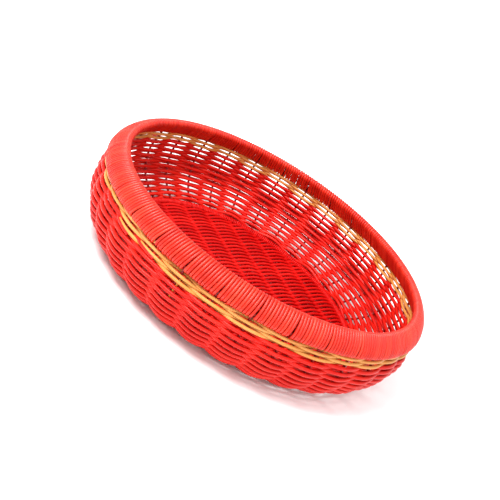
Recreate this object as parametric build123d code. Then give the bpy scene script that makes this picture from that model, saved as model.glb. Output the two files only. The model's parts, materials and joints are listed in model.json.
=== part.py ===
from build123d import *
import math
import os

# Round wicker basket: a wire frame of hoops and ribs, a flat woven floor, a wall woven from round
# plastic cord and a rim wound with the same cord. Millimetres, +Z up. The origin is the centre of
# the circle that the basket stands on.

# ---- Driving dimensions -------------------------------------------------------------------------
RIB_COUNT = 32
RIB_WIRE = 2.2
RIB_PHASE = 0.75                 # where the first rib stands, in rib spacings from +X
CONTACT_GAP = 0.05               # air left between a cord and the wire that it goes round

WALL_CORD = 2.3
RED_ROUNDS = 11                  # each round is two cords that pass opposite sides of every rib
RED_PITCH = 5.82                 # height of one red round, along the wall
GOLD_ROUNDS = 2
GOLD_PITCH = 4.4                 # height of one gold round, along the wall
OUTER_ROUNDING = 1.0             # how far a wall cord's bend is rounded off, outside a rib
INNER_ROUNDING = 0.5             # the same, inside a rib

BASE_HOOP_RADIUS = 119.5
BASE_HOOP_WIRE = 3.2
BASE_WRAP_CORD = 1.95            # thin cord wound round the base hoop
BASE_LEVEL = 3.45                # height of the middle of the floor
STAKE_COUNT = 9
STAKE_PITCH = 26.5
STAKE_ANGLE = -48.4              # direction of the floor stakes, degrees from +X
STAKE_DRILL_DEPTH = 12.0         # reach of the holes for ribs and stakes in the base winding
WEAVER_ANGLE = 51.0              # direction of the floor weavers, degrees from +X
WEAVER_PITCH = 2.6
WEAVER_SETS = 4                  # the weavers are kept in four interleaved sets
WEAVER_ROUNDING = 0.6            # how far a weaver's bend is rounded off, over or under a stake
WEAVER_END_RUN = 6.2             # least run from a weaver's last stake to its end
WEAVER_END_GAP = 0.2             # air between a weaver's end and the wound hoop

# Rib centre line, as radius and height, with the bend radius at each corner after the first
RIM_RADIUS = 153.4               # where the ribs stand upright, under the rim
RIB_CORNERS = [(BASE_HOOP_RADIUS, BASE_LEVEL), (133.5, 6.9), (147.6, 17.2), (157.4, 38.5)]
RIB_CORNERS += [(RIM_RADIUS, 57.5), (RIM_RADIUS, 65.5)]
RIB_BENDS = [40.0, 30.0, 32.0, 20.0, 8.0]

LIP_HOOP_RADIUS = 146.6
LIP_HOOP_LEVEL = 75.2
LIP_HOOP_WIRE = 3.2
RIM_HOOP_WIRE = 2.0
RIM_HOOP_LEVEL = 64.2
SHOULDER_HOOP = (153.5, 69.1)    # radius and height
RIM_WRAP_CORD = 2.5
WRAP_CLEARANCE = 0.1             # between the rim winding and what it is wound round

GOLD_TAIL_CORD = 1.7
GOLD_TAIL_RIB = 22
GOLD_TAIL_ROUNDS = 3             # how far the loose gold end is tucked down beside its rib

# ---- Worked out ---------------------------------------------------------------------------------
RIM_HOOP_RADIUS = RIM_RADIUS + RIB_WIRE / 2 + RIM_HOOP_WIRE / 2 + CONTACT_GAP
BASE_WRAP_OUTSIDE = BASE_HOOP_WIRE / 2 + BASE_WRAP_CORD + CONTACT_GAP
CORD_REACH = RIB_WIRE / 2 + WALL_CORD / 2 + CONTACT_GAP


def at_angle(point, angle):
    """A point given as radius and height, turned to an angle round the Z axis."""
    radius, height = point
    turn = math.radians(angle)
    return Vector(radius * math.cos(turn), radius * math.sin(turn), height)


def tube(path, diameter):
    """A round cord or wire along a path."""
    section = Plane(origin=path @ 0, z_dir=path % 0) * Circle(diameter / 2)
    return sweep(section, path=path)


def hoop(radius, height, wire):
    """A wire ring lying flat round the Z axis."""
    return Pos(0, 0, height) * Torus(radius, wire / 2)


def corner_bend(before, corner, after, rounding):
    """Bend radius that pulls a path in by the given amount at a corner."""
    turn = math.radians((corner - before).get_angle(after - corner))
    return rounding / (1 / math.cos(turn / 2) - 1)


# ---- Ribs ---------------------------------------------------------------------------------------
def rib_angle(number):
    """Angle of one rib round the basket, in degrees from +X."""
    return (number + RIB_PHASE) * 360 / RIB_COUNT


def rib_path(angle):
    """Centre line of a rib, from the base hoop out, up the wall and in to the lip hoop."""
    corners = RIB_CORNERS + [(LIP_HOOP_RADIUS, LIP_HOOP_LEVEL)]
    points = [at_angle(corner, angle) for corner in corners]
    return FilletPolyline(*points, radius=RIB_BENDS)


def make_ribs(base_hoop, lip_hoop):
    """All ribs, each butted against the base hoop and the lip hoop."""
    rib = tube(rib_path(0), RIB_WIRE) - base_hoop - lip_hoop
    return [Rot(0, 0, rib_angle(number)) * rib for number in range(RIB_COUNT)]


# ---- Woven wall ---------------------------------------------------------------------------------
def wall_stations():
    """Distances along a rib of the wall cords, from the floor up, two for each round."""
    pitches = [RED_PITCH] * RED_ROUNDS + [GOLD_PITCH] * GOLD_ROUNDS
    start = BASE_WRAP_OUTSIDE + WALL_CORD / 2 + 3 * CONTACT_GAP
    stations = []
    for pitch in pitches:
        stations += [start, start + pitch / 2]
        start += pitch
    return stations


def beside_rib(profile, station, distance):
    """Point off the rib line, as radius and height: outside it where the distance is positive."""
    share = station / profile.length
    middle = profile @ share
    along = profile % share
    return middle.X + distance * along.Z, middle.Z - distance * along.X


def wall_cord(profile, station, first_side):
    """One closed cord of the wall, which passes the ribs on alternate sides."""
    corners = []
    roundings = []
    for number in range(RIB_COUNT):
        side = first_side if number % 2 == 0 else -first_side
        rounding = OUTER_ROUNDING if side > 0 else INNER_ROUNDING
        corner = beside_rib(profile, station, side * (CORD_REACH + rounding))
        corners.append(at_angle(corner, rib_angle(number)))
        roundings.append(rounding)
    bends = []
    for number, rounding in enumerate(roundings):
        after = corners[(number + 1) % RIB_COUNT]
        bends.append(corner_bend(corners[number - 1], corners[number], after, rounding))
    path = FilletPolyline(*corners, radius=bends, close=True)
    return tube(path, WALL_CORD)


def make_wall(profile):
    """The wall cords by node name: red rounds from the floor up, then the gold rounds."""
    names = [f"red_round_{number:02d}" for number in range(1, RED_ROUNDS + 1)]
    names += [f"gold_round_{number}" for number in range(1, GOLD_ROUNDS + 1)]
    cords = {}
    stations = wall_stations()
    for number, name in enumerate(names):
        cords[name + "_a"] = wall_cord(profile, stations[2 * number], 1)
        cords[name + "_b"] = wall_cord(profile, stations[2 * number + 1], -1)
    return cords


def make_gold_tail(profile):
    """The loose end of a gold cord, tucked straight down beside one rib."""
    stations = wall_stations()
    top = stations[2 * RED_ROUNDS]
    bottom = stations[2 * (RED_ROUNDS - GOLD_TAIL_ROUNDS)]
    sideways = (RIB_WIRE + GOLD_TAIL_CORD) / 2 + CONTACT_GAP
    points = [Vector(*beside_rib(profile, station, 0)) for station in (top, (top + bottom) / 2, bottom)]
    path = ThreePointArc(*[(point.X, sideways, point.Y) for point in points])
    return Rot(0, 0, rib_angle(GOLD_TAIL_RIB)) * tube(path, GOLD_TAIL_CORD)


# ---- Floor --------------------------------------------------------------------------------------
def stake_line(number):
    """A stake's distance from the centre, and half its length up to the base hoop's centre line."""
    offset = (number - (STAKE_COUNT - 1) / 2) * STAKE_PITCH
    return offset, math.sqrt(BASE_HOOP_RADIUS**2 - offset**2)


def make_stake(number, base_hoop):
    """One straight floor stake, butted against the base hoop at both ends."""
    offset, reach = stake_line(number)
    rod = Pos(0, offset, BASE_LEVEL) * Rot(0, 90, 0) * Cylinder(RIB_WIRE / 2, 2 * reach)
    return Rot(0, 0, STAKE_ANGLE) * (rod - Rot(0, 0, -STAKE_ANGLE) * base_hoop)


def weaver_crossings(offset):
    """Places along a weaver where it crosses the stakes, with each stake's number."""
    skew = math.radians(WEAVER_ANGLE - STAKE_ANGLE)
    middle = (STAKE_COUNT - 1) / 2
    places = []
    for number in range(STAKE_COUNT):
        stake_offset = (number - middle) * STAKE_PITCH
        places.append(((stake_offset - offset * math.cos(skew)) / math.sin(skew), number))
    return places


def floor_weaver(number):
    """One floor weaver, which goes over and under the stakes by turns."""
    offset = number * WEAVER_PITCH
    inside = BASE_HOOP_RADIUS - BASE_WRAP_OUTSIDE - WEAVER_END_GAP
    reach = math.sqrt(inside**2 - (abs(offset) + WALL_CORD / 2) ** 2)
    ends = [-reach, reach]
    corners = []
    for place, stake in weaver_crossings(offset):
        end = 1 if place > 0 else 0
        if abs(place) > reach + RIB_WIRE + WALL_CORD:
            continue
        if abs(place) > reach - WEAVER_END_RUN:
            ends[end] = math.copysign(abs(place) - RIB_WIRE - WALL_CORD / 2, place)
            continue
        side = 1 if (number + stake) % 2 == 0 else -1
        corners.append(Vector(place, offset, BASE_LEVEL + side * (CORD_REACH + WEAVER_ROUNDING)))
    points = [Vector(ends[0], offset, BASE_LEVEL)] + corners + [Vector(ends[1], offset, BASE_LEVEL)]
    bends = []
    for before, corner, after in zip(points, points[1:], points[2:]):
        bends.append(corner_bend(before, corner, after, WEAVER_ROUNDING))
    path = FilletPolyline(*points, radius=bends) if bends else Line(*points)
    return Rot(0, 0, WEAVER_ANGLE) * tube(path, WALL_CORD)


def make_floor_weavers(set_number):
    """Every fourth floor weaver, starting from one of the first four."""
    inside = BASE_HOOP_RADIUS - BASE_WRAP_OUTSIDE - WEAVER_END_GAP - WALL_CORD
    last = int(inside / WEAVER_PITCH)
    numbers = [n for n in range(-last, last + 1) if n % WEAVER_SETS == set_number]
    return [floor_weaver(number) for number in numbers]


def base_wrap_drills():
    """Straight drills from inside the base hoop: out along each rib and in along each stake."""
    drill_radius = RIB_WIRE / 2 + CONTACT_GAP
    start = Vector(BASE_HOOP_RADIUS, 0, BASE_LEVEL)
    outwards = at_angle(RIB_CORNERS[1], 0) - start
    align = (Align.CENTER, Align.CENTER, Align.MIN)
    rib_drill = Plane(origin=start, z_dir=outwards) * Cylinder(drill_radius, STAKE_DRILL_DEPTH, align=align)
    drills = [Rot(0, 0, rib_angle(number)) * rib_drill for number in range(RIB_COUNT)]
    stake_drill = Rot(0, 90, 0) * Cylinder(drill_radius, STAKE_DRILL_DEPTH)
    for number in range(STAKE_COUNT):
        offset, reach = stake_line(number)
        depth = reach - STAKE_DRILL_DEPTH / 2
        for end in (-depth, depth):
            drills.append(Rot(0, 0, STAKE_ANGLE) * Pos(end, offset, BASE_LEVEL) * stake_drill)
    return drills


def base_wrap_half(middle_level, drills):
    """The upper or lower half of the winding round the base hoop, with its holes."""
    ring = Circle(BASE_WRAP_OUTSIDE) - Circle(BASE_HOOP_WIRE / 2 + CONTACT_GAP)
    band = Pos(BASE_HOOP_RADIUS, middle_level) * Rectangle(4 * BASE_WRAP_OUTSIDE, BASE_LEVEL)
    half = Pos(BASE_HOOP_RADIUS, BASE_LEVEL) * ring & band
    return revolve(Plane.XZ * half, axis=Axis.Z) - drills


def make_base_wrap():
    """The winding round the base hoop, flat underneath, with a hole for each rib and stake."""
    drills = base_wrap_drills()
    return base_wrap_half(1.5 * BASE_LEVEL, drills) + base_wrap_half(0.5 * BASE_LEVEL, drills)


# ---- Rim ----------------------------------------------------------------------------------------
def make_rim_wrap():
    """The rim winding: a taut skin round the rib tops and three hoops, with a hole for each rib."""
    rib_side = RIB_WIRE / 2 + WRAP_CLEARANCE
    hoop_side = RIM_HOOP_WIRE / 2 + WRAP_CLEARANCE
    lip_side = LIP_HOOP_WIRE / 2 + WRAP_CLEARANCE
    held = [
        Pos(RIM_RADIUS, RIM_HOOP_LEVEL) * Circle(rib_side),
        Pos(RIM_HOOP_RADIUS, RIM_HOOP_LEVEL) * Circle(hoop_side),
        Pos(*SHOULDER_HOOP) * Circle(hoop_side),
        Pos(LIP_HOOP_RADIUS, LIP_HOOP_LEVEL) * Circle(lip_side),
    ]
    cavity = make_hull([edge for disc in held for edge in disc.edges()])
    section = offset(cavity, RIM_WRAP_CORD) - cavity
    wrap = revolve(Plane.XZ * section, axis=Axis.Z)
    drill_height = 2 * RIM_WRAP_CORD
    drill = Pos(RIM_RADIUS, 0, RIM_HOOP_LEVEL - RIM_WRAP_CORD) * Cylinder(rib_side, drill_height)
    return wrap - [Rot(0, 0, rib_angle(number)) * drill for number in range(RIB_COUNT)]


def build_nodes():
    """Every node of the basket, each as a solid or a list of separate solids."""
    profile = rib_path(0)
    base_hoop = hoop(BASE_HOOP_RADIUS, BASE_LEVEL, BASE_HOOP_WIRE)
    lip_hoop = hoop(LIP_HOOP_RADIUS, LIP_HOOP_LEVEL, LIP_HOOP_WIRE)
    ribs = make_ribs(base_hoop, lip_hoop)
    stakes = [make_stake(number, base_hoop) for number in range(STAKE_COUNT)]
    nodes = {
        "base_hoop": base_hoop,
        "base_hoop_wrap": make_base_wrap(),
        "ribs": ribs,
        "rim_lower_hoop": hoop(RIM_HOOP_RADIUS, RIM_HOOP_LEVEL, RIM_HOOP_WIRE),
        "rim_shoulder_hoop": hoop(*SHOULDER_HOOP, RIM_HOOP_WIRE),
        "lip_hoop": lip_hoop,
        "rim_wrap": make_rim_wrap(),
        "gold_tail": make_gold_tail(profile),
    }
    for number, stake in enumerate(stakes, start=1):
        nodes[f"base_stake_{number}"] = stake
    for set_number in range(WEAVER_SETS):
        nodes[f"floor_weavers_{set_number + 1}"] = make_floor_weavers(set_number)
    nodes.update(make_wall(profile))
    return nodes


os.makedirs("parts", exist_ok=True)
for name, solids in build_nodes().items():
    node = Compound(children=solids) if isinstance(solids, list) else solids
    export_step(node, f"parts/{name}.step")
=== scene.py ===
"""Looks of a round wicker basket, built round its CAD frame.

The wire frame of the basket is carried over from the CAD model. Every cord is made here: the rim
winding, the woven wall, the floor and the winding of the base hoop.
"""

import json
import logging
import math
from dataclasses import dataclass
from enum import Enum

import bpy
from mathutils import Matrix, Vector

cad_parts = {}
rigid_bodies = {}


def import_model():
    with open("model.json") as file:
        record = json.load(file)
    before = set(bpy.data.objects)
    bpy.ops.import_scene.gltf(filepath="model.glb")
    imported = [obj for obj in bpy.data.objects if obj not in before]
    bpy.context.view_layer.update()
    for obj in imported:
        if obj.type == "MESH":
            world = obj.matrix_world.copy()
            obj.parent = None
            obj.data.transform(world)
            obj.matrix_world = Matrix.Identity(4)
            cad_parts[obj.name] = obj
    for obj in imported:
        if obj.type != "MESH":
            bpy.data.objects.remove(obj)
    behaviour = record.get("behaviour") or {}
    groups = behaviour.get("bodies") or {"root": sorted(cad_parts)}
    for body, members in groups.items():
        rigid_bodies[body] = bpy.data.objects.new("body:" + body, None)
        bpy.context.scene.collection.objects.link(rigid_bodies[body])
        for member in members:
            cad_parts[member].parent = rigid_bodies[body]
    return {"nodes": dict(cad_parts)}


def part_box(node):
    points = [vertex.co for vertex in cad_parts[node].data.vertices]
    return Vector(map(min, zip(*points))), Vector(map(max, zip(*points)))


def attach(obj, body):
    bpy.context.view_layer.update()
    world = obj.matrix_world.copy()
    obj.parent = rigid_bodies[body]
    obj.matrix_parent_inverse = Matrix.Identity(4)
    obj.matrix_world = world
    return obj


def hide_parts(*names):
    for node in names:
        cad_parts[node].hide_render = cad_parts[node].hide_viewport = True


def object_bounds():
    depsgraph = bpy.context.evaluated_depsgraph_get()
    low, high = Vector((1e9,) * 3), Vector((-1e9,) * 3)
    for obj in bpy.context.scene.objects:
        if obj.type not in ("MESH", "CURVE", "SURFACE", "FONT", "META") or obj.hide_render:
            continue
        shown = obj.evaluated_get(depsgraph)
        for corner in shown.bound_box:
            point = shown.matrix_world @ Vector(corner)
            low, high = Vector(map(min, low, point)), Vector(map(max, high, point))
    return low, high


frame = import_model()
cad_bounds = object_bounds()

LOG = logging.getLogger("basket")
BODY = "root"
MM = 0.001


# ---- Node helpers -------------------------------------------------------------------------------
class Term:
    """One value in a node tree, which can be written in a formula."""

    def __init__(self, graph: "NodeGraph", socket: bpy.types.NodeSocket) -> None:
        """Keeps the tree and the socket that the value comes from."""
        self.graph = graph
        self.socket = socket

    def __add__(self, other: "Term | float") -> "Term":
        """Sum of two values."""
        return self.graph.math("ADD", self, other)

    def __sub__(self, other: "Term | float") -> "Term":
        """Difference of two values."""
        return self.graph.math("SUBTRACT", self, other)

    def __rsub__(self, other: float) -> "Term":
        """A number less this value."""
        return self.graph.math("SUBTRACT", other, self)

    def __mul__(self, other: "Term | float") -> "Term":
        """Product of two values."""
        return self.graph.math("MULTIPLY", self, other)

    def __truediv__(self, other: "Term | float") -> "Term":
        """Quotient of two values."""
        return self.graph.math("DIVIDE", self, other)

    __radd__ = __add__
    __rmul__ = __mul__


class NodeGraph:
    """Adds nodes, values and links to one node tree."""

    def __init__(self, tree: bpy.types.NodeTree) -> None:
        """Keeps the tree that is built."""
        self.tree = tree

    def node(self, kind: str, values: dict | None = None, **settings: object) -> bpy.types.Node:
        """Adds one node.

        Args:
            kind: the node's type name.
            values: what goes into its inputs, by input name or number.
            settings: the node's own settings.

        Returns:
            The new node.
        """
        node = self.tree.nodes.new(kind)
        for key, value in settings.items():
            setattr(node, key, value)
        for key, value in (values or {}).items():
            if isinstance(value, Term):
                self.tree.links.new(value.socket, node.inputs[key])
            else:
                node.inputs[key].default_value = value
        return node

    def out(self, kind: str, values: dict | None = None, pick: int | str = 0,
            **settings: object) -> Term:
        """Adds one node and gives the output that is wanted.

        Args:
            kind: the node's type name.
            values: what goes into its inputs.
            pick: the output's name or number.
            settings: the node's own settings.

        Returns:
            The chosen output, as a value.
        """
        return Term(self, self.node(kind, values, **settings).outputs[pick])

    def math(self, operation: str, *values: "Term | float") -> Term:
        """One step of arithmetic.

        Args:
            operation: the Math node's operation.
            values: what goes in, in order.

        Returns:
            The result.
        """
        return self.out("ShaderNodeMath", dict(enumerate(values)), operation=operation)

    def vector(self, x: "Term | float", y: "Term | float", z: "Term | float") -> Term:
        """A vector of three values."""
        return self.out("ShaderNodeCombineXYZ", {0: x, 1: y, 2: z})

    def parts(self, vector: Term) -> tuple[Term, Term, Term]:
        """The three values of a vector."""
        node = self.node("ShaderNodeSeparateXYZ", {0: vector})
        return tuple(Term(self, output) for output in node.outputs)

    def noise(self, vector: Term, scale: float, detail: float = 2.0) -> Term:
        """Smooth noise between 0 and 1.

        Args:
            vector: where it is read.
            scale: how fine it is.
            detail: how many finer layers it has.

        Returns:
            The noise.
        """
        return self.out("ShaderNodeTexNoise", {"Vector": vector, "Scale": scale, "Detail": detail})


class GeometryTree(NodeGraph):
    """A Geometry Nodes tree with named inputs, whose result is kept as a plain mesh."""

    def __init__(self, name: str) -> None:
        """Starts an empty tree with its geometry and material sockets."""
        super().__init__(bpy.data.node_groups.new(name, "GeometryNodeTree"))
        self.given = self.tree.nodes.new("NodeGroupInput")
        self.shape = self.entry("Geometry", "Geometry")
        self.material = self.entry("Material", "Material")
        self.tree.interface.new_socket(
            "Geometry", in_out="OUTPUT", socket_type="NodeSocketGeometry")

    def entry(self, name: str, kind: str = "Float") -> Term:
        """Adds a named input.

        Args:
            name: its name.
            kind: its socket type, such as Float or Int.

        Returns:
            The input, as a value.
        """
        self.tree.interface.new_socket(name, in_out="INPUT", socket_type=f"NodeSocket{kind}")
        return Term(self, self.given.outputs[name])

    def keep(self, geometry: Term, name: str, value: Term) -> Term:
        """Stores a number on every point, for the finish or for a later step."""
        inputs = {"Geometry": geometry, "Name": name, "Value": value}
        return self.out(
            "GeometryNodeStoreNamedAttribute", inputs, data_type="FLOAT", domain="POINT")

    def kept(self, name: str) -> Term:
        """Reads a number that keep stored."""
        return self.out("GeometryNodeInputNamedAttribute", {"Name": name}, data_type="FLOAT")

    def place(self, geometry: Term, x: Term, y: Term, z: Term) -> Term:
        """Moves every point to a worked-out place."""
        target = self.vector(x, y, z)
        return self.out("GeometryNodeSetPosition", {"Geometry": geometry, "Position": target})

    def sweep(self, curve: Term, diameter: Term, sides: int) -> Term:
        """Turns curves into round cords.

        Args:
            curve: their centre lines.
            diameter: how thick they are.
            sides: how many faces go round one.

        Returns:
            The cords, with the distance along and round each one stored for the finish.
        """
        length = self.out("GeometryNodeSplineParameter", pick="Length")
        curve = self.keep(curve, "along", length)
        inputs = {"Resolution": sides, "Radius": diameter / 2}
        ring = self.out("GeometryNodeCurvePrimitiveCircle", inputs)
        round_it = self.out("GeometryNodeSplineParameter", pick="Factor")
        ring = self.keep(ring, "round", round_it)
        inputs = {"Curve": curve, "Profile Curve": ring, "Fill Caps": True}
        return self.out("GeometryNodeCurveToMesh", inputs)

    def close(self, geometry: Term) -> None:
        """Ends the tree: smooth shading, real geometry, one material."""
        smooth = self.out("GeometryNodeSetShadeSmooth", {"Geometry": geometry})
        real = self.out("GeometryNodeRealizeInstances", {"Geometry": smooth})
        dressed = self.out("GeometryNodeSetMaterial", {"Geometry": real, "Material": self.material})
        result = self.tree.nodes.new("NodeGroupOutput")
        self.tree.links.new(dressed.socket, result.inputs["Geometry"])

    def grow(self, name: str, source: bpy.types.Mesh, settings: dict) -> bpy.types.Object:
        """Runs the tree on a mesh line and keeps the outcome as a piece.

        Args:
            name: the piece's name.
            source: the line that the tree starts from.
            settings: what goes into the tree's inputs, by name.

        Returns:
            The piece, with its place in its mesh.
        """
        carrier = bpy.data.objects.new(name + "_line", source)
        bpy.context.collection.objects.link(carrier)
        modifier = carrier.modifiers.new("grow", "NODES")
        modifier.node_group = self.tree
        for item in self.tree.interface.items_tree:
            if item.in_out == "INPUT" and item.name in settings:
                modifier[item.identifier] = settings[item.name]
        graph = bpy.context.evaluated_depsgraph_get()
        mesh = bpy.data.meshes.new_from_object(carrier.evaluated_get(graph), depsgraph=graph)
        carrier.modifiers.remove(modifier)
        bpy.data.objects.remove(carrier)
        return add_piece(name, mesh)


def add_piece(name: str, mesh: bpy.types.Mesh) -> bpy.types.Object:
    """Puts a mesh in the scene as a piece."""
    mesh.name = name
    piece = bpy.data.objects.new(name, mesh)
    bpy.context.collection.objects.link(piece)
    return piece


def mesh_line(name: str, points: list[Vector], closed: bool = False) -> bpy.types.Mesh:
    """A mesh of points joined by edges, in order.

    Args:
        name: the mesh's name.
        points: the points.
        closed: whether the last is joined to the first.

    Returns:
        The mesh.
    """
    count = len(points)
    edges = [(i, (i + 1) % count) for i in range(count if closed else count - 1)]
    mesh = bpy.data.meshes.new(name)
    mesh.from_pydata([tuple(point) for point in points], edges, [])
    return mesh


# ---- Sizes read from the frame ------------------------------------------------------------------
@dataclass(frozen=True)
class Ring:
    """A ring round the Z axis, measured on its CAD node."""

    radius: float
    height: float
    depth: float

    @classmethod
    def of(cls, node: str) -> "Ring":
        """Measures a node: the middle of its wall and how far it reaches up and down."""
        reaches = []
        heights = []
        for vertex in frame["nodes"][node].data.vertices:
            reaches.append(math.hypot(vertex.co.x, vertex.co.y))
            heights.append(vertex.co.z)
        low, high = min(heights), max(heights)
        return cls((min(reaches) + max(reaches)) / 2, (low + high) / 2, high - low)

    @property
    def point(self) -> Vector:
        """The middle of the wall, in the upright plane through +X."""
        return Vector((self.radius, 0.0, self.height))


@dataclass(frozen=True)
class Weave:
    """What all the woven pieces share."""

    ribs: int = 32
    phase: float = 0.75
    rib_wire: float = 2.2 * MM
    red_rounds: int = 11
    gold_rounds: int = 2

    @property
    def pitch(self) -> float:
        """Angle between two ribs."""
        return math.tau / self.ribs

    def angle(self, rib: float) -> float:
        """Angle of a rib, or of a place between two ribs."""
        return (rib + self.phase) * self.pitch


# ---- Finishes -----------------------------------------------------------------------------------
@dataclass(frozen=True)
class CordFinish:
    """Extruded plastic wicker cord: satin, with fine draw lines and uneven colour."""

    name: str
    deep: tuple[float, float, float]
    plain: tuple[float, float, float]
    pale: tuple[float, float, float]
    roughness: float
    sheen: float
    draw_lines: float = 0.25
    line_scale: float = 2.4
    cloud_scale: float = 38.0
    fleck_scale: float = 420.0
    grain_scale: float = 2600.0
    relief: float = 0.12 * MM
    # How the draw lines are stretched: slowly along the cord, finely round it.
    line_along: float = 18.0
    line_round: float = 1.6
    # What makes up the colour, and where the ramp starts and ends.
    cloud_share: float = 0.5
    tint_share: float = 0.34
    line_share: float = 0.16
    ramp_ends: tuple[float, float] = (0.26, 0.76)
    # How far the flecks and lines move the roughness, and what stands up on the surface.
    fleck_rough: float = 0.16
    line_rough: float = 0.06
    grain_height: float = 0.10
    fleck_height: float = 0.22
    bump: float = 0.35
    coat_share: float = 0.4
    coat_roughness: float = 0.25

    def build(self) -> bpy.types.Material:
        """Makes the material.

        Returns:
            A node material that follows the cord by its stored lengths.
        """
        material = bpy.data.materials.new(self.name)
        material.use_nodes = True
        graph = NodeGraph(material.node_tree)
        shader = graph.tree.nodes["Principled BSDF"]
        place = graph.out("ShaderNodeTexCoord", pick="Object")
        along = graph.out("ShaderNodeAttribute", pick="Fac", attribute_name="along")
        round_it = graph.out("ShaderNodeAttribute", pick="Fac", attribute_name="round")
        tint = graph.out("ShaderNodeAttribute", pick="Fac", attribute_name="tint")
        turn = round_it * math.tau
        cosine, sine = graph.math("COSINE", turn), graph.math("SINE", turn)
        skin = graph.vector(
            along * self.line_along, cosine * self.line_round, sine * self.line_round)
        lines = graph.noise(skin, self.line_scale, 3.0)
        cloud = graph.noise(place, self.cloud_scale, 3.0)
        grain = graph.noise(place, self.grain_scale, 2.0)
        fleck = graph.noise(place, self.fleck_scale, 2.0)

        share = cloud * self.cloud_share + tint * self.tint_share + lines * self.line_share
        ramp = graph.node("ShaderNodeValToRGB", {"Fac": share})
        ramp.color_ramp.elements[0].position = self.ramp_ends[0]
        ramp.color_ramp.elements[0].color = (*self.deep, 1)
        ramp.color_ramp.elements[1].position = self.ramp_ends[1]
        ramp.color_ramp.elements[1].color = (*self.pale, 1)
        middle = ramp.color_ramp.elements.new(0.5)
        middle.color = (*self.plain, 1)
        graph.tree.links.new(ramp.outputs["Color"], shader.inputs["Base Color"])

        smoothest = self.roughness - self.fleck_rough / 2
        rough = graph.math("MULTIPLY_ADD", fleck, self.fleck_rough, smoothest)
        graph.tree.links.new((rough + lines * self.line_rough).socket, shader.inputs["Roughness"])
        height = lines * self.draw_lines + grain * self.grain_height + fleck * self.fleck_height
        inputs = {"Height": height, "Strength": self.bump, "Distance": self.relief}
        bump = graph.node("ShaderNodeBump", inputs)
        graph.tree.links.new(bump.outputs["Normal"], shader.inputs["Normal"])
        shader.inputs["Specular IOR Level"].default_value = self.sheen
        shader.inputs["Coat Weight"].default_value = self.sheen * self.coat_share
        shader.inputs["Coat Roughness"].default_value = self.coat_roughness
        return material


@dataclass(frozen=True)
class WireFinish:
    """Steel wire under a thin, slightly uneven dark red lacquer."""

    name: str
    lacquer: tuple[float, float, float]
    worn: tuple[float, float, float]
    run_scale: float = 90.0
    rub_scale: float = 520.0
    relief: float = 0.1 * MM
    ramp_ends: tuple[float, float] = (0.2, 0.46)
    rub_rough: float = 0.25
    smoothest: float = 0.24
    bump: float = 0.3
    sheen: float = 0.3

    def build(self) -> bpy.types.Material:
        """Makes the material.

        Returns:
            A node material for the hoops, ribs and stakes.
        """
        material = bpy.data.materials.new(self.name)
        material.use_nodes = True
        graph = NodeGraph(material.node_tree)
        shader = graph.tree.nodes["Principled BSDF"]
        place = graph.out("ShaderNodeTexCoord", pick="Object")
        runs = graph.noise(place, self.run_scale, 3.0)
        rub = graph.noise(place, self.rub_scale, 4.0)
        share = graph.math("MULTIPLY", runs, rub)
        ramp = graph.node("ShaderNodeValToRGB", {"Fac": share})
        ramp.color_ramp.elements[0].position = self.ramp_ends[0]
        ramp.color_ramp.elements[0].color = (*self.lacquer, 1)
        ramp.color_ramp.elements[1].position = self.ramp_ends[1]
        ramp.color_ramp.elements[1].color = (*self.worn, 1)
        graph.tree.links.new(ramp.outputs["Color"], shader.inputs["Base Color"])
        rough = graph.math("MULTIPLY_ADD", rub, self.rub_rough, self.smoothest)
        graph.tree.links.new(rough.socket, shader.inputs["Roughness"])
        inputs = {"Height": runs + rub, "Strength": self.bump, "Distance": self.relief}
        bump = graph.node("ShaderNodeBump", inputs)
        graph.tree.links.new(bump.outputs["Normal"], shader.inputs["Normal"])
        shader.inputs["Specular IOR Level"].default_value = self.sheen
        return material


class Finish(Enum):
    """The finishes of the basket."""

    RIM = CordFinish(
        "rim_cord", (0.47, 0.010, 0.004), (0.57, 0.018, 0.006), (0.67, 0.037, 0.015), 0.36, 0.30)
    WALL = CordFinish(
        "wall_cord", (0.47, 0.003, 0.002), (0.58, 0.008, 0.003), (0.68, 0.020, 0.009), 0.38, 0.18)
    FLOOR = CordFinish(
        "floor_cord", (0.40, 0.001, 0.001), (0.51, 0.003, 0.002), (0.61, 0.009, 0.006), 0.42, 0.12)
    GOLD = CordFinish(
        "gold_cord", (0.48, 0.165, 0.026), (0.62, 0.255, 0.056), (0.72, 0.35, 0.115), 0.36, 0.25)
    WIRE = WireFinish("frame_wire", (0.22, 0.004, 0.005), (0.36, 0.011, 0.012))


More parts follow.
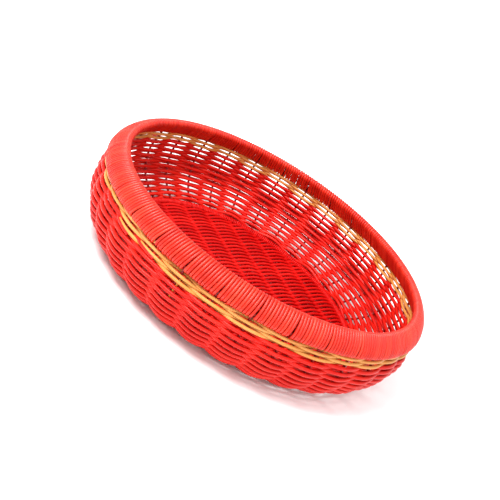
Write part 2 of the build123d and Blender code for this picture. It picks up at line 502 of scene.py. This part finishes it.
# ---- Windings -----------------------------------------------------------------------------------
class WindingTree(GeometryTree):
    """Turns of cord wound round a hoop or a bundle of hoops, opening into a seam at each rib."""

    SIDES = 8
    # How the turns differ: slipped along the hoop more at the foot, or standing out a little.
    SLIP_SEED = 7
    STAND_SEED = 13
    SLIP_AT_FOOT = 1.3
    STAND_SHARE = 0.35

    def __init__(self) -> None:
        """Builds the tree, whose geometry input is one turn, in the upright plane through +X."""
        super().__init__("winding")
        turns = self.entry("Turns", "Int")
        per_rib = self.entry("Turns per rib")
        pitch = self.entry("Rib pitch")
        phase = self.entry("Phase")
        gap = self.entry("Seam gap")
        lean = self.entry("Lean")
        low = self.entry("Low")
        high = self.entry("High")
        cord = self.entry("Cord")
        loose = self.entry("Looseness")
        seed = self.entry("Seed", "Int")

        loop = self.out("GeometryNodeMeshToCurve", {"Mesh": self.shape})
        number = self.out("GeometryNodeInputIndex")
        line = self.out("GeometryNodeMeshLine", {"Count": turns, "Offset": (0, 0, 0)})
        line = self.keep(line, "turn", number)
        line = self.keep(line, "tint", self.chance(seed))
        line = self.keep(line, "slip", self.chance(seed + self.SLIP_SEED))
        line = self.keep(line, "stand", self.chance(seed + self.STAND_SEED))
        copies = self.out("GeometryNodeInstanceOnPoints", {"Points": line, "Instance": loop})
        copies = self.out("GeometryNodeRealizeInstances", {"Geometry": copies})

        radius, _, height = self.parts(self.out("GeometryNodeInputPosition"))
        turn = self.kept("turn")
        rib = self.math("FLOOR", turn / per_rib)
        slot = turn - rib * per_rib
        rise = self.out("ShaderNodeClamp", {"Value": (height - low) / (high - low)})
        spread = ((slot + 0.5) / per_rib - 0.5) * (1 - gap * (1 - rise))
        slip = (self.kept("slip") - 0.5) * loose * (self.SLIP_AT_FOOT - rise) / per_rib
        angle = (rib + phase + 0.5 + spread + slip + lean * rise) * pitch
        out_by = radius + (self.kept("stand") - 0.5) * loose * cord * self.STAND_SHARE
        cosine = self.math("COSINE", angle)
        sine = self.math("SINE", angle)
        wound = self.place(copies, out_by * cosine, out_by * sine, height)
        self.close(self.sweep(wound, cord, self.SIDES))

    def chance(self, seed: Term) -> Term:
        """A random number between 0 and 1 for each turn."""
        return self.out("FunctionNodeRandomValue", {"Seed": seed}, pick=1, data_type="FLOAT")


@dataclass(frozen=True)
class Roller:
    """A round thing that a turn of cord goes round, as seen in the turn's own plane."""

    radius: float
    height: float
    reach: float

    def at(self, angle: float) -> Vector:
        """The point of its outline at an angle."""
        out = self.radius + self.reach * math.cos(angle)
        return Vector((out, 0.0, self.height + self.reach * math.sin(angle)))


# Where a run of cord between two rollers gets its points, as shares of its length.
RUN_STOPS = (0.33, 0.67)


def taut_turn(rollers: list[Roller], bows: tuple[float, ...], step: float) -> list[Vector]:
    """One taut turn of cord round some rollers.

    Args:
        rollers: what it goes round, anticlockwise.
        bows: how far the run after each roller swells outwards.
        step: largest bend between two points, in radians.

    Returns:
        The points of the closed turn.
    """
    leaves = []
    for here, there in zip(rollers, rollers[1:] + rollers[:1]):
        across = math.atan2(there.height - here.height, there.radius - here.radius)
        apart = math.hypot(there.height - here.height, there.radius - here.radius)
        leaves.append(across - math.acos((here.reach - there.reach) / apart))
    points = []
    for index, roller in enumerate(rollers):
        start = leaves[index - 1]
        bend = (leaves[index] - start) % math.tau
        steps = max(1, math.ceil(bend / step))
        points += [roller.at(start + bend * i / steps) for i in range(steps + 1)]
        following = rollers[(index + 1) % len(rollers)].at(leaves[index])
        swell = Vector((math.cos(leaves[index]), 0.0, math.sin(leaves[index])))
        leaving = roller.at(leaves[index])
        for share in RUN_STOPS:
            points.append(leaving.lerp(following, share) + swell * bows[index])
    return points


@dataclass
class Rim:
    """The rim winding, over the rib tops and the three rim hoops."""

    weave: Weave
    cord: float = 2.58 * MM
    bedding: float = 2.5 * MM
    turns_per_rib: int = 11
    seam_gap: float = 0.055
    lean: float = 0.10
    looseness: float = 0.16
    bows: tuple[float, ...] = (0.25 * MM, 0.45 * MM, 0.0, 0.0)
    bend_step: float = 30.0
    seed: int = 3

    def turn(self) -> list[Vector]:
        """The centre line of one turn of cord."""
        lower, shoulder = Ring.of("rim_lower_hoop"), Ring.of("rim_shoulder_hoop")
        lip = Ring.of("lip_hoop")
        wire = lower.depth / 2
        rib = lower.radius - wire - self.weave.rib_wire / 2
        half = self.bedding / 2
        rollers = [
            Roller(lower.radius, lower.height, wire + half),
            Roller(shoulder.radius, shoulder.height, wire + half),
            Roller(lip.radius, lip.height, lip.depth / 2 + half),
            Roller(rib, lower.height, self.weave.rib_wire / 2 + half),
        ]
        return taut_turn(rollers, self.bows, math.radians(self.bend_step))

    def build(self, tree: WindingTree, finish: bpy.types.Material) -> bpy.types.Object:
        """Winds the rim.

        Args:
            tree: the winding tree.
            finish: the cord's material.

        Returns:
            The winding, as one piece.
        """
        turn = self.turn()
        heights = [point.z for point in turn]
        piece = tree.grow("rim_winding", mesh_line("rim_turn", turn, closed=True), {
            "Material": finish,
            "Turns": self.weave.ribs * self.turns_per_rib,
            "Turns per rib": float(self.turns_per_rib),
            "Rib pitch": self.weave.pitch,
            "Phase": self.weave.phase,
            "Seam gap": self.seam_gap,
            "Lean": self.lean,
            "Low": min(heights),
            "High": max(heights),
            "Cord": self.cord,
            "Looseness": self.looseness,
            "Seed": self.seed,
        })
        return settle(piece, "rim_cord", "rim_wrap")


@dataclass
class BaseWinding:
    """The thin cord wound round the base hoop."""

    weave: Weave
    turns_per_rib: int = 12
    points: int = 12
    looseness: float = 0.2
    seed: int = 5

    def build(self, tree: WindingTree, finish: bpy.types.Material) -> bpy.types.Object:
        """Winds the base hoop.

        Args:
            tree: the winding tree.
            finish: the cord's material.

        Returns:
            The winding, as one piece.
        """
        hoop = Ring.of("base_hoop")
        wrap = Ring.of("base_hoop_wrap")
        cord = math.tau * hoop.radius / (self.weave.ribs * self.turns_per_rib)
        reach = min(wrap.depth / 2, hoop.height) - cord / 2
        roller = Roller(hoop.radius, hoop.height, reach)
        turn = [roller.at(math.tau * i / self.points) for i in range(self.points)]
        piece = tree.grow("base_winding", mesh_line("base_turn", turn, closed=True), {
            "Material": finish,
            "Turns": self.weave.ribs * self.turns_per_rib,
            "Turns per rib": float(self.turns_per_rib),
            "Rib pitch": self.weave.pitch,
            "Phase": self.weave.phase,
            "Seam gap": 0.0,
            "Lean": 0.0,
            "Low": 0.0,
            "High": 2 * hoop.height,
            "Cord": cord,
            "Looseness": self.looseness,
            "Seed": self.seed,
        })
        return settle(piece, "floor_cord", "base_hoop_wrap")


# ---- Wall ---------------------------------------------------------------------------------------
class WallCordTree(GeometryTree):
    """One run of wall cord that climbs slowly round the basket, in and out past the ribs."""

    SIDES = 8
    # How strong each unevenness is, and how fine it is round the basket and up the wall.
    DRIFT = 1.3
    DRIFT_ROUND = 5.5
    DRIFT_UP = 26
    OWN_DRIFT = 0.75
    OWN_ROUND = 16
    WIDTH_ROUND = 9
    WIDTH_SEED = 31
    TINT_ROUND = 3
    TINT_UP = 90
    SQUEEZE_SWING = 0.35

    def __init__(self) -> None:
        """Builds the tree. Its geometry input is the middle line of the wall, at +X."""
        super().__init__("wall_cord")
        points = self.entry("Points", "Int")
        start = self.entry("Start")
        sweep = self.entry("Sweep")
        first = self.entry("First level")
        last = self.entry("Last level")
        side = self.entry("Side")
        pitch = self.entry("Rib pitch")
        phase = self.entry("Phase")
        reach = self.entry("Reach")
        cord = self.entry("Cord")
        uneven = self.entry("Unevenness")
        seed = self.entry("Seed")
        squeeze = self.entry("Squeeze")
        span = self.entry("Squeezed span")
        front = self.entry("Squeezed side")

        wall = self.out("GeometryNodeMeshToCurve", {"Mesh": self.shape})
        wall = self.out("GeometryNodeCurveSplineType", {"Curve": wall}, spline_type="CATMULL_ROM")
        line = self.out("GeometryNodeCurvePrimitiveLine")
        line = self.out("GeometryNodeResampleCurve", {"Curve": line, "Count": points})
        share = self.out("GeometryNodeSplineParameter", pick="Factor")
        angle = start + sweep * share
        level = first + (last - first) * share
        cosine = self.math("COSINE", angle)
        sine = self.math("SINE", angle)

        drift = self.around(cosine, sine, self.DRIFT_ROUND, level * self.DRIFT_UP) - 0.5
        own = self.around(cosine, sine, self.OWN_ROUND, seed) - 0.5
        swell = self.math("MAXIMUM", self.math("SINE", level / span * math.pi), 0.0)
        nearness = self.math("COSINE", angle - front) * self.SQUEEZE_SWING
        nearness = nearness + (1 - self.SQUEEZE_SWING)
        rise = level + (drift * self.DRIFT + own * self.OWN_DRIFT) * uneven
        rise = rise + squeeze * swell * nearness
        inputs = {"Curves": wall, "Length": rise}
        sample = self.node("GeometryNodeSampleCurve", inputs, mode="LENGTH")
        radius, _, height = self.parts(Term(self, sample.outputs["Position"]))
        along_r, _, along_z = self.parts(Term(self, sample.outputs["Tangent"]))

        wave = self.math("COSINE", (angle / pitch - phase) * math.pi)
        wide = self.around(cosine, sine, self.WIDTH_ROUND, seed + self.WIDTH_SEED) - 0.5
        outward = side * wave * (reach + wide * uneven)
        radius = radius + outward * along_z
        height = height - outward * along_r
        shade = seed + level * self.TINT_UP
        shade = self.vector(cosine * self.TINT_ROUND, sine * self.TINT_ROUND, shade)
        line = self.keep(line, "tint", self.noise(shade, 1.0))
        laid = self.place(line, radius * cosine, radius * sine, height)
        self.close(self.sweep(laid, cord, self.SIDES))

    def around(self, cosine: Term, sine: Term, scale: float, third: Term) -> Term:
        """Smooth noise that closes on itself round the basket."""
        return self.noise(self.vector(cosine * scale, sine * scale, third), 1.0, 1.0)


@dataclass
class Wall:
    """The woven wall: red rounds, then the gold band."""

    weave: Weave
    cord: float = 3.3 * MM
    gold_cord: float = 2.75 * MM
    bite: float = 0.4 * MM
    uneven: float = 0.55 * MM
    squeeze: float = 3.5 * MM
    squeezed_side: float = 262.0
    points_per_rib: int = 12
    seeds: tuple[float, float] = (11.0, 28.0)
    first_drops: tuple[float, float] = (0.4 * MM, 3.0 * MM)
    early_ribs: tuple[float, float] = (0.0, 8.0)
    gold_starts: tuple[float, float] = (19.5, 20.5)
    gold_overlap: float = 0.3
    # Cut ends: how many ribs back they start, how many they pass, and how far they climb.
    red_end: tuple[float, float, float] = (0.05, 0.75, -1.7 * MM)
    gold_end: tuple[float, float, float] = (0.02, 2.2, 2.6 * MM)
    tail_cord: float = 1.9 * MM
    tail_points: int = 7
    tail_stands: tuple[float, float] = (0.3 * MM, 0.9 * MM)
    tail_wander: float = 0.1 * MM

    def __post_init__(self) -> None:
        """Reads the stations of the wall from the CAD cords."""
        red = [f"red_round_{number:02d}" for number in range(1, self.weave.red_rounds + 1)]
        gold = [f"gold_round_{number}" for number in range(1, self.weave.gold_rounds + 1)]
        self.rounds = red + gold
        rings = [Ring.of("base_hoop")]
        for name in self.rounds:
            rings += [Ring.of(name + "_a"), Ring.of(name + "_b")]
        rim = Ring.of("rim_lower_hoop")
        top = Vector((rings[-1].radius, 0.0, rim.height + rim.depth))
        self.line = [ring.point for ring in rings] + [top]
        self.levels = [0.0]
        for before, after in zip(self.line, self.line[1:]):
            self.levels.append(self.levels[-1] + (after - before).length)

    def level(self, strand: int, round_number: float) -> float:
        """Distance up the wall of one strand, at a round or between two rounds.

        Args:
            strand: 0 for the first cord of each round, 1 for the second.
            round_number: which round, counted from the floor.

        Returns:
            The distance along the wall's middle line.
        """
        stations = self.levels[1 + strand:-1:2]
        whole = max(0, min(int(math.floor(round_number)), len(stations) - 2))
        step = stations[whole + 1] - stations[whole]
        return stations[whole] + max(round_number - whole, 0.0) * step

    def run(self, tree: WallCordTree, name: str, finish: bpy.types.Material, strand: int,
            start: float, ribs: float, levels: tuple[float, float],
            cord: float) -> bpy.types.Object:
        """Lays one run of cord.

        Args:
            tree: the wall cord tree.
            name: the piece's name.
            finish: the cord's material.
            strand: 0 or 1, which sets the side on which it passes the ribs.
            start: where it starts, in ribs.
            ribs: how many ribs it passes.
            levels: how far up the wall it starts and ends.
            cord: how thick it is.

        Returns:
            The run, as a piece.
        """
        return tree.grow(name, mesh_line(name + "_wall", self.line), {
            "Material": finish,
            "Points": int(ribs * self.points_per_rib) + 1,
            "Start": self.weave.angle(start),
            "Sweep": ribs * self.weave.pitch,
            "First level": levels[0],
            "Last level": levels[1],
            "Side": -1.0 if strand else 1.0,
            "Rib pitch": self.weave.pitch,
            "Phase": self.weave.phase,
            "Reach": (self.weave.rib_wire + cord) / 2 - self.bite,
            "Cord": cord,
            "Unevenness": self.uneven,
            "Seed": self.seeds[strand],
            "Squeeze": self.squeeze,
            "Squeezed span": self.level(0, self.weave.red_rounds),
            "Squeezed side": math.radians(self.squeezed_side),
        })

    def build(self, tree: WallCordTree, red: bpy.types.Material, gold: bpy.types.Material) -> None:
        """Weaves the wall, one piece for each cord of each round.

        Args:
            tree: the wall cord tree.
            red: the material of the red cords.
            gold: the material of the gold cords.
        """
        for number, name in enumerate(self.rounds):
            is_gold = number >= self.weave.red_rounds
            for strand, letter in enumerate("ab"):
                start = self.gold_starts[strand]
                first, last = self.level(strand, number - 0.5), self.level(strand, number + 0.5)
                ribs = float(self.weave.ribs)
                if number == 0:
                    first = self.level(strand, 0) - self.first_drops[strand]
                    start, ribs = start - self.early_ribs[strand], ribs + self.early_ribs[strand]
                if number == self.weave.red_rounds:
                    start, ribs = start - self.gold_overlap, ribs + self.gold_overlap
                cord = self.gold_cord if is_gold else self.cord
                piece = self.run(tree, f"{name}_{letter}_cord", gold if is_gold else red, strand,
                                 start, ribs, (first, last), cord)
                settle(piece, "gold_cord" if is_gold else "wall_cord", f"{name}_{letter}")

    def build_ends(self, tree: WallCordTree, red: bpy.types.Material,
                   gold: bpy.types.Material) -> None:
        """Adds the cut ends of the cords: the red ones under the gold, the gold ones under the rim.

        Args:
            tree: the wall cord tree.
            red: the material of the red cords.
            gold: the material of the gold cords.
        """
        last_red = self.weave.red_rounds - 0.5
        last_gold = last_red + self.weave.gold_rounds
        red_back, red_ribs, red_rise = self.red_end
        gold_back, gold_ribs, gold_rise = self.gold_end
        for strand, letter in enumerate("ab"):
            start = self.gold_starts[strand]
            level = self.level(strand, last_red)
            end = self.run(tree, f"red_end_{letter}", red, strand, start - red_back, red_ribs,
                           (level, level + red_rise), self.cord)
            settle(end, "wall_cord")
            level = self.level(strand, last_gold)
            end = self.run(tree, f"gold_end_{letter}", gold, strand, start - gold_back, gold_ribs,
                           (level, level + gold_rise), self.gold_cord)
            settle(end, "gold_cord")

    def build_tail(self, finish: bpy.types.Material) -> bpy.types.Object:
        """Tucks the loose gold end down beside its rib.

        Args:
            finish: the gold cord's material.

        Returns:
            The tail, as a piece.
        """
        low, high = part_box("gold_tail")
        middle = (low + high) / 2
        away = math.atan2(middle.y, middle.x)
        sideways = Vector((-math.sin(away), math.cos(away), 0.0))
        outward = Vector((math.cos(away), math.sin(away), 0.0))
        heights = [point.z for point in self.line]
        curve = bpy.data.curves.new("gold_tail_cord", "CURVE")
        curve.dimensions = "3D"
        spline = curve.splines.new("NURBS")
        steps = self.tail_points - 1
        spline.points.add(steps)
        for index, point in enumerate(spline.points):
            height = high.z + (low.z - high.z) * index / steps
            after = next(i for i, z in enumerate(heights) if z > height)
            share = (height - heights[after - 1]) / (heights[after] - heights[after - 1])
            wall = self.line[after - 1].lerp(self.line[after], share)
            stand = self.tail_stands[index % 2]
            spot = outward * (wall.x + stand) + sideways * (self.tail_wander * math.sin(index))
            point.co = (spot.x, spot.y, height, 1.0)
        spline.order_u = 3
        spline.use_endpoint_u = True
        curve.bevel_depth = self.tail_cord / 2
        curve.bevel_resolution = 3
        curve.use_fill_caps = True
        carrier = bpy.data.objects.new("gold_tail_line", curve)
        bpy.context.collection.objects.link(carrier)
        graph = bpy.context.evaluated_depsgraph_get()
        mesh = bpy.data.meshes.new_from_object(carrier.evaluated_get(graph), depsgraph=graph)
        bpy.data.objects.remove(carrier)
        mesh.materials.clear()
        mesh.materials.append(finish)
        return settle(add_piece("gold_tail_cord", mesh), "gold_cord", "gold_tail")


# ---- Floor --------------------------------------------------------------------------------------
class FloorTree(GeometryTree):
    """Parallel floor weavers that go over and under skewed stakes by turns."""

    SIDES = 8
    # How fine the shared shift of the weavers and each weaver's own wander are.
    SHIFT_FINENESS = 22
    SHIFT_SEED = 3.0
    OWN_ALONG = 40
    OWN_ACROSS = 3
    OWN_SEED = 9.0
    OWN_RISE = 0.5
    OWN_SHIFT = 0.6
    # How much of its wave a weaver keeps at its ends, and how many cords' widths that takes.
    END_REACH = 0.35
    FADE_CORDS = 2

    def __init__(self) -> None:
        """Builds the tree. Its geometry input is a line along +X that stands for one weaver."""
        super().__init__("floor_weave")
        count = self.entry("Weavers", "Int")
        pitch = self.entry("Weaver pitch")
        inside = self.entry("Inside radius")
        level = self.entry("Level")
        turned = self.entry("Direction")
        skew = self.entry("Skew")
        stakes = self.entry("Stake pitch")
        reach = self.entry("Reach")
        cord = self.entry("Cord")
        uneven = self.entry("Unevenness")
        seed = self.entry("Seed", "Int")

        weaver = self.out("GeometryNodeMeshToCurve", {"Mesh": self.shape})
        number = self.out("GeometryNodeInputIndex")
        line = self.out("GeometryNodeMeshLine", {"Count": count, "Offset": (0, 0, 0)})
        line = self.keep(line, "row", number - (count - 1) / 2)
        chance = self.out("FunctionNodeRandomValue", {"Seed": seed}, pick=1, data_type="FLOAT")
        line = self.keep(line, "tint", chance)
        copies = self.out("GeometryNodeInstanceOnPoints", {"Points": line, "Instance": weaver})
        copies = self.out("GeometryNodeRealizeInstances", {"Geometry": copies})

        row = self.kept("row")
        offset = row * pitch
        edge = self.math("ABSOLUTE", offset) + cord / 2
        half = self.math("SQRT", self.math("MAXIMUM", inside * inside - edge * edge, 0.0))
        share, _, _ = self.parts(self.out("GeometryNodeInputPosition"))
        place = share * half
        fine = self.SHIFT_FINENESS
        spot = self.vector(place * fine, offset * fine, self.SHIFT_SEED)
        shift = (self.noise(spot, 1.0, 1.0) - 0.5) * uneven
        crossing = (place * self.math("SINE", skew) + offset * self.math("COSINE", skew)) / stakes
        wave = self.math("COSINE", (crossing + row) * math.pi)
        to_end = half - self.math("ABSOLUTE", place)
        fade = self.math("MINIMUM", to_end / (cord * self.FADE_CORDS), 1.0)
        wander = self.vector(place * self.OWN_ALONG, row * self.OWN_ACROSS, self.OWN_SEED)
        own = self.noise(wander, 1.0, 1.0) - 0.5
        ends = self.END_REACH + (1 - self.END_REACH) * fade
        height = level + wave * reach * ends + own * uneven * self.OWN_RISE
        across = offset + shift + own * uneven * self.OWN_SHIFT
        cosine = self.math("COSINE", turned)
        sine = self.math("SINE", turned)
        x, y = place * cosine - across * sine, place * sine + across * cosine
        woven = self.place(copies, x, y, height)
        self.close(self.sweep(woven, cord, self.SIDES))


@dataclass
class Floor:
    """The woven floor."""

    weave: Weave
    cord: float = 2.75 * MM
    weaver_pitch: float = 2.6 * MM
    weaver_sets: int = 4
    stake_pitch: float = 26.5 * MM
    stake_angle: float = -48.4
    weaver_angle: float = 51.0
    tuck: float = 0.6 * MM
    uneven: float = 0.7 * MM
    points: int = 90
    seed: int = 8

    def build(self, tree: FloorTree, finish: bpy.types.Material) -> bpy.types.Object:
        """Weaves the floor.

        Args:
            tree: the floor tree.
            finish: the weavers' material.

        Returns:
            The floor weavers, as one piece.
        """
        hoop = Ring.of("base_hoop")
        wrap = Ring.of("base_hoop_wrap")
        inside = hoop.radius - wrap.depth / 2 + self.tuck
        last = int((inside - self.cord / 2) / self.weaver_pitch)
        line = [Vector((2 * i / (self.points - 1) - 1, 0.0, 0.0)) for i in range(self.points)]
        piece = tree.grow("floor_weavers", mesh_line("floor_line", line), {
            "Material": finish,
            "Weavers": 2 * last + 1,
            "Weaver pitch": self.weaver_pitch,
            "Inside radius": inside,
            "Level": hoop.height,
            "Direction": math.radians(self.weaver_angle),
            "Skew": math.radians(self.weaver_angle - self.stake_angle),
            "Stake pitch": self.stake_pitch,
            "Reach": hoop.height - self.cord / 2,
            "Cord": self.cord,
            "Unevenness": self.uneven,
            "Seed": self.seed,
        })
        replaced = [f"floor_weavers_{number + 1}" for number in range(self.weaver_sets)]
        return settle(piece, "floor_cord", *replaced)


# ---- Frame and studio ---------------------------------------------------------------------------
def settle(piece: bpy.types.Object, slot: str, *replaced: str) -> bpy.types.Object:
    """Tells the frame about a finished piece.

    Args:
        piece: the piece.
        slot: not used.
        replaced: the CAD nodes that it stands for.

    Returns:
        The same piece.
    """
    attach(piece, BODY)
    if replaced:
        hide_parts(*replaced)
    stands_for = ", ".join(replaced) or "no node"
    LOG.info("%s: %d faces, for %s", piece.name, len(piece.data.polygons), stands_for)
    return piece


@dataclass
class WireFrame:
    """The hoops, ribs and stakes, whose CAD shapes are kept and given a lacquer."""

    prefixes: tuple[str, ...] = (
        "base_hoop", "base_stake", "ribs", "rim_lower", "rim_shoulder", "lip_hoop")

    def dress(self, finish: bpy.types.Material) -> None:
        """Puts the lacquer on every wire.

        Args:
            finish: the wire's material.
        """
        for name, node in frame["nodes"].items():
            if name.startswith(self.prefixes) and not node.hide_render:
                for slot in node.material_slots:
                    slot.material = finish
                LOG.info("%s: CAD shape, %d faces", name, len(node.data.polygons))


@dataclass(frozen=True)
class SoftBox:
    """One large soft studio light."""

    name: str
    azimuth: float
    elevation: float
    distance: float
    size: float
    power: float

    def build(self, aim: Vector) -> None:
        """Hangs the light and turns it to the basket.

        Args:
            aim: the point that it lights.
        """
        turn, lift = math.radians(self.azimuth), math.radians(self.elevation)
        level = math.cos(lift)
        away = Vector((math.cos(turn) * level, math.sin(turn) * level, math.sin(lift)))
        data = bpy.data.lights.new(self.name, "AREA")
        data.shape = "DISK"
        data.size = self.size
        data.energy = self.power
        light = bpy.data.objects.new(self.name, data)
        light.location = aim + away * self.distance
        light.rotation_euler = away.to_track_quat("Z", "Y").to_euler()
        bpy.context.collection.objects.link(light)


@dataclass
class Studio:
    """The floor, the lights and the camera."""

    distance: float = 799.6 * MM
    elevation: float = 23.77
    roll: float = 33.61
    lens: float = 64.55
    aim_share: float = 0.447
    shift: tuple[float, float] = (-0.0096, 0.0117)
    floor_half: float = 60.0
    paper: float = 0.93
    paper_grain: float = 0.02
    paper_scale: float = 3.0
    paper_roughness: float = 0.9
    near_clip: float = 0.01
    sky: float = 1.0
    sun: float = 1.0
    sun_spread: float = 70.0
    sun_from: tuple[float, float, float] = (0.05, -0.4, 1.0)
    boxes: tuple[SoftBox, ...] = (
        SoftBox("key_light", 222.0, 56.0, 1.5, 0.8, 30.0),
        SoftBox("fill_light", 300.0, 35.0, 1.8, 1.2, 4.0),
    )

    def build(self) -> None:
        """Sets up everything that isn't the basket."""
        low, high = cad_bounds
        aim = Vector((0.0, 0.0, low[2] + (high[2] - low[2]) * self.aim_share))
        self.lay_floor(low[2])
        self.light(aim)
        self.place_camera(aim)

    def lay_floor(self, ground: float) -> None:
        """Lays a pale floor under the basket.

        Args:
            ground: the height that the basket stands on.
        """
        half = self.floor_half
        signs = ((-1, -1), (1, -1), (1, 1), (-1, 1))
        corners = [(half * x, half * y, ground) for x, y in signs]
        mesh = bpy.data.meshes.new("floor_sheet")
        mesh.from_pydata(corners, [], [(0, 1, 2, 3)])
        paper = bpy.data.materials.new("studio_paper")
        paper.use_nodes = True
        graph = NodeGraph(paper.node_tree)
        place = graph.out("ShaderNodeTexCoord", pick="Object")
        clouds = graph.noise(place, self.paper_scale)
        shade = graph.math("MULTIPLY_ADD", clouds, self.paper_grain, self.paper)
        shader = graph.tree.nodes["Principled BSDF"]
        graph.tree.links.new(graph.vector(shade, shade, shade).socket, shader.inputs["Base Color"])
        shader.inputs["Roughness"].default_value = self.paper_roughness
        mesh.materials.append(paper)
        add_piece("floor_sheet", mesh)

    def light(self, aim: Vector) -> None:
        """Hangs the soft lights and fills the room with pale light."""
        for box in self.boxes:
            box.build(aim)
        sun = bpy.data.lights.new("sky_light", "SUN")
        sun.energy = self.sun
        sun.angle = math.radians(self.sun_spread)
        lamp = bpy.data.objects.new("sky_light", sun)
        lamp.rotation_euler = Vector(self.sun_from).to_track_quat("Z", "Y").to_euler()
        bpy.context.collection.objects.link(lamp)
        world = bpy.context.scene.world or bpy.data.worlds.new("studio")
        bpy.context.scene.world = world
        world.use_nodes = True
        background = world.node_tree.nodes["Background"]
        background.inputs["Color"].default_value = (1.0, 1.0, 1.0, 1.0)
        background.inputs["Strength"].default_value = self.sky
        bpy.context.scene.view_settings.view_transform = "Standard"

    def place_camera(self, aim: Vector) -> None:
        """Stands the camera in front of the basket, leaning over to one side.

        Args:
            aim: the point that it looks at.
        """
        lift, lean = math.radians(self.elevation), math.radians(self.roll)
        back = Vector((0.0, -math.cos(lift), math.sin(lift)))
        level_x = Vector((1.0, 0.0, 0.0))
        level_y = back.cross(level_x)
        across = level_x * math.cos(lean) + level_y * math.sin(lean)
        upward = level_y * math.cos(lean) - level_x * math.sin(lean)
        data = bpy.data.cameras.new("camera")
        data.lens = self.lens
        data.shift_x, data.shift_y = self.shift
        data.clip_start = self.near_clip
        camera = bpy.data.objects.new("camera", data)
        place = Matrix((across, upward, back)).transposed().to_4x4()
        place.translation = aim + back * self.distance
        camera.matrix_world = place
        bpy.context.collection.objects.link(camera)
        bpy.context.scene.camera = camera


def main() -> None:
    """Builds the basket and its studio, in order."""
    logging.basicConfig(level=logging.INFO, format="%(name)s: %(message)s")
    for name in ("Cube", "Light", "Camera"):
        if name in bpy.data.objects:
            bpy.data.objects.remove(bpy.data.objects[name])
    weave = Weave()
    finishes = {finish: finish.value.build() for finish in Finish}
    winding, cords, floor = WindingTree(), WallCordTree(), FloorTree()
    Rim(weave).build(winding, finishes[Finish.RIM])
    BaseWinding(weave).build(winding, finishes[Finish.FLOOR])
    wall = Wall(weave)
    wall.build(cords, finishes[Finish.WALL], finishes[Finish.GOLD])
    wall.build_ends(cords, finishes[Finish.WALL], finishes[Finish.GOLD])
    wall.build_tail(finishes[Finish.GOLD])
    Floor(weave).build(floor, finishes[Finish.FLOOR])
    WireFrame().dress(finishes[Finish.WIRE])
    Studio().build()


if __name__ == "__main__":
    main()
